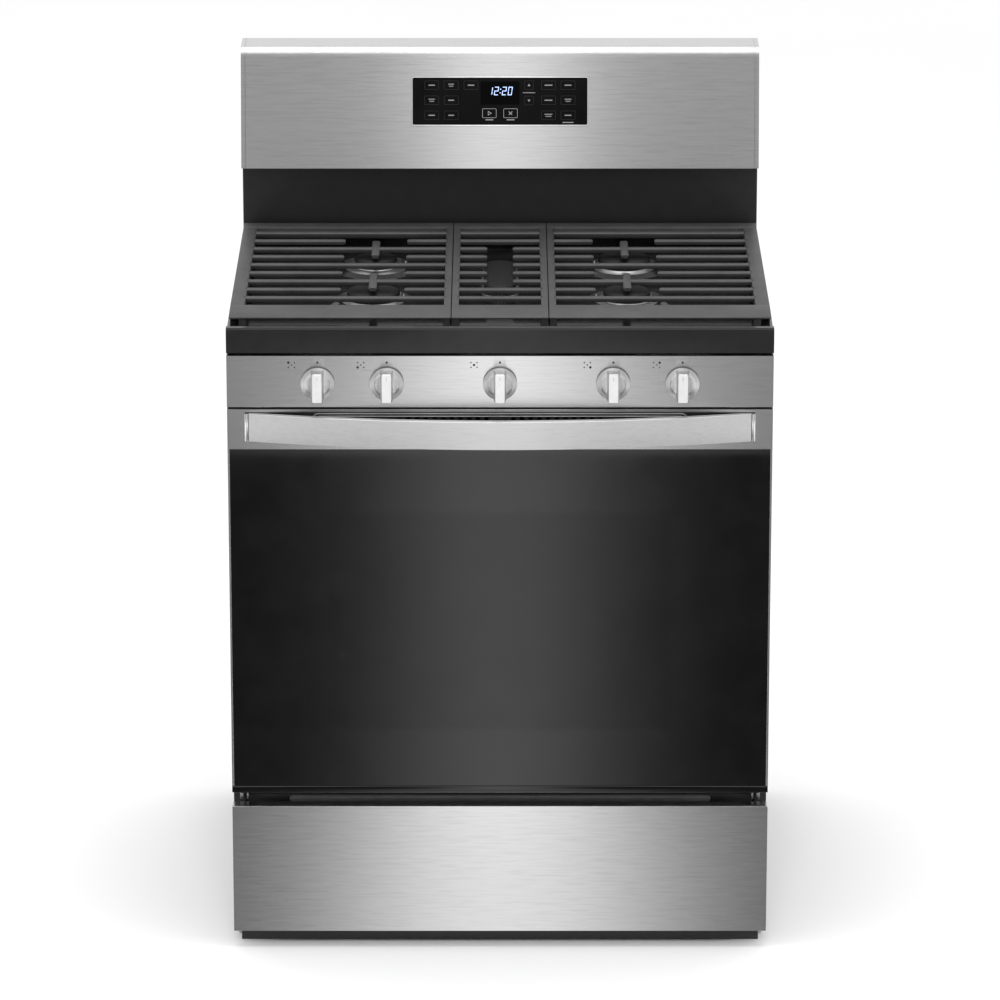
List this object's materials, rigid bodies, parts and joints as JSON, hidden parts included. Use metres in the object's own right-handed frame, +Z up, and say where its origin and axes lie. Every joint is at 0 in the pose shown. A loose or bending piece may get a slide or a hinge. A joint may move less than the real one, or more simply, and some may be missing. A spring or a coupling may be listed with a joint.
{
  "type": "freestanding gas range",
  "caption": "Freestanding gas range with cast-iron grates, front control knobs, drop-down glass oven door, bowed handle, storage drawer and a backguard with a touch display.",
  "frame": {"origin": "on the floor, under the middle of the bounding box", "axes": "+X to the right seen from the front, +Y towards the back, +Z up"},
  "size_m": [0.759, 0.705, 1.186],
  "materials": {
    "brushed_steel": "horizontal fine grain",
    "steel_trim": "satin",
    "black_enamel": "gloss",
    "dark_paint": "satin",
    "cast_iron": "matte porcelain",
    "aluminium": "die cast",
    "zinc_steel": "galvanised",
    "brass": "machined",
    "black_glass": "gloss",
    "display_glass": "gloss",
    "black_plastic": "satin",
    "gasket_fibre": "woven",
    "chrome_wire": "plated"
  },
  "bodies": {
    "root": {"side_panel_left": "dark_paint", "side_panel_right": "dark_paint", "rear_panel": "zinc_steel", "base_frame": "dark_paint", "oven_cavity": "black_enamel", "front_frame": "black_enamel", "door_gasket": "gasket_fibre", "oven_floor": "black_enamel", "bake_burner": "zinc_steel", "broil_burner": "zinc_steel", "fan_cover": "black_enamel", "control_panel": "brushed_steel", "gas_manifold": "zinc_steel", "gas_inlet": "zinc_steel", "cooktop": "black_enamel", "burner_head_centre": "aluminium", "burner_cap_centre": "cast_iron", "backguard_riser": "black_enamel", "backguard_panel": "brushed_steel", "backguard_cap_left": "steel_trim", "backguard_cap_right": "steel_trim", "touch_display": "display_glass", "levelling_leg_front_left": "zinc_steel", "burner_head_front_left": "aluminium", "burner_cap_front_left": "cast_iron", "levelling_leg_front_right": "zinc_steel", "burner_head_front_right": "aluminium", "burner_cap_front_right": "cast_iron", "levelling_leg_rear_left": "zinc_steel", "burner_head_rear_left": "aluminium", "burner_cap_rear_left": "cast_iron", "levelling_leg_rear_right": "zinc_steel", "burner_head_rear_right": "aluminium", "burner_cap_rear_right": "cast_iron"},
    "oven_door": {"door_frame": "brushed_steel", "door_glass": "black_glass", "door_vent_trim": "black_plastic", "door_liner": "black_enamel", "door_inner_glass": "black_glass", "door_hinge_left": "zinc_steel", "door_hinge_right": "zinc_steel", "handle_bar": "brushed_steel"},
    "storage_drawer": {"drawer_front": "brushed_steel", "drawer_box": "dark_paint"},
    "fan_rotor": {"convection_fan": "zinc_steel"},
    "upper_rack": {"rack_upper": "chrome_wire"},
    "lower_rack": {"rack_lower": "chrome_wire"},
    "left_grate": {"grate_left": "cast_iron"},
    "centre_grate": {"grate_centre": "cast_iron"},
    "right_grate": {"grate_right": "cast_iron"},
    "stem_1": {"valve_stem_1": "brass"},
    "control_knob_1": {"knob_1": "brushed_steel"},
    "stem_2": {"valve_stem_2": "brass"},
    "control_knob_2": {"knob_2": "brushed_steel"},
    "stem_3": {"valve_stem_3": "brass"},
    "control_knob_3": {"knob_3": "brushed_steel"},
    "stem_4": {"valve_stem_4": "brass"},
    "control_knob_4": {"knob_4": "brushed_steel"},
    "stem_5": {"valve_stem_5": "brass"},
    "control_knob_5": {"knob_5": "brushed_steel"}
  },
  "joints": [
    {"name": "door_swing", "type": "hinge", "parent": "root", "child": "oven_door", "pos_m": [0, -0.2895, 0.242], "axis": [1, 0, 0], "range_deg": [0, 90], "stiffness_Nm_per_rad": 20, "springref_deg": -11.46},
    {"name": "drawer_slide", "type": "slide", "parent": "root", "child": "storage_drawer", "axis": [0, -1, 0], "range_m": [0, 0.38]},
    {"name": "fan_spin", "type": "hinge", "parent": "root", "child": "fan_rotor", "pos_m": [0, 0.2105, 0.505], "axis": [0, 1, 0], "continuous": true},
    {"name": "upper_rack_slide", "type": "slide", "parent": "root", "child": "upper_rack", "axis": [0, -1, 0], "range_m": [0, 0.012]},
    {"name": "lower_rack_slide", "type": "slide", "parent": "root", "child": "lower_rack", "axis": [0, -1, 0], "range_m": [0, 0.012]},
    {"name": "left_grate_lift", "type": "slide", "parent": "root", "child": "left_grate", "axis": [0, 0, 1], "range_m": [0, 0.06]},
    {"name": "centre_grate_lift", "type": "slide", "parent": "root", "child": "centre_grate", "axis": [0, 0, 1], "range_m": [0, 0.06]},
    {"name": "right_grate_lift", "type": "slide", "parent": "root", "child": "right_grate", "axis": [0, 0, 1], "range_m": [0, 0.06]},
    {"name": "knob_1_push", "type": "slide", "parent": "root", "child": "stem_1", "axis": [0, 1, 0], "range_m": [0, 0.0025], "stiffness_N_per_m": 800, "springref_m": -0.002},
    {"name": "knob_1_turn", "type": "hinge", "parent": "stem_1", "child": "control_knob_1", "pos_m": [-0.253, -0.3195, 0.838], "axis": [0, -1, 0], "range_deg": [0, 230]},
    {"name": "knob_2_push", "type": "slide", "parent": "root", "child": "stem_2", "axis": [0, 1, 0], "range_m": [0, 0.0025], "stiffness_N_per_m": 800, "springref_m": -0.002},
    {"name": "knob_2_turn", "type": "hinge", "parent": "stem_2", "child": "control_knob_2", "pos_m": [-0.157, -0.3195, 0.838], "axis": [0, -1, 0], "range_deg": [0, 230]},
    {"name": "knob_3_push", "type": "slide", "parent": "root", "child": "stem_3", "axis": [0, 1, 0], "range_m": [0, 0.0025], "stiffness_N_per_m": 800, "springref_m": -0.002},
    {"name": "knob_3_turn", "type": "hinge", "parent": "stem_3", "child": "control_knob_3", "pos_m": [0, -0.3195, 0.838], "axis": [0, -1, 0], "range_deg": [0, 230]},
    {"name": "knob_4_push", "type": "slide", "parent": "root", "child": "stem_4", "axis": [0, 1, 0], "range_m": [0, 0.0025], "stiffness_N_per_m": 800, "springref_m": -0.002},
    {"name": "knob_4_turn", "type": "hinge", "parent": "stem_4", "child": "control_knob_4", "pos_m": [0.157, -0.3195, 0.838], "axis": [0, -1, 0], "range_deg": [0, 230]},
    {"name": "knob_5_push", "type": "slide", "parent": "root", "child": "stem_5", "axis": [0, 1, 0], "range_m": [0, 0.0025], "stiffness_N_per_m": 800, "springref_m": -0.002},
    {"name": "knob_5_turn", "type": "hinge", "parent": "stem_5", "child": "control_knob_5", "pos_m": [0.253, -0.3195, 0.838], "axis": [0, -1, 0], "range_deg": [0, 230]}
  ]
}
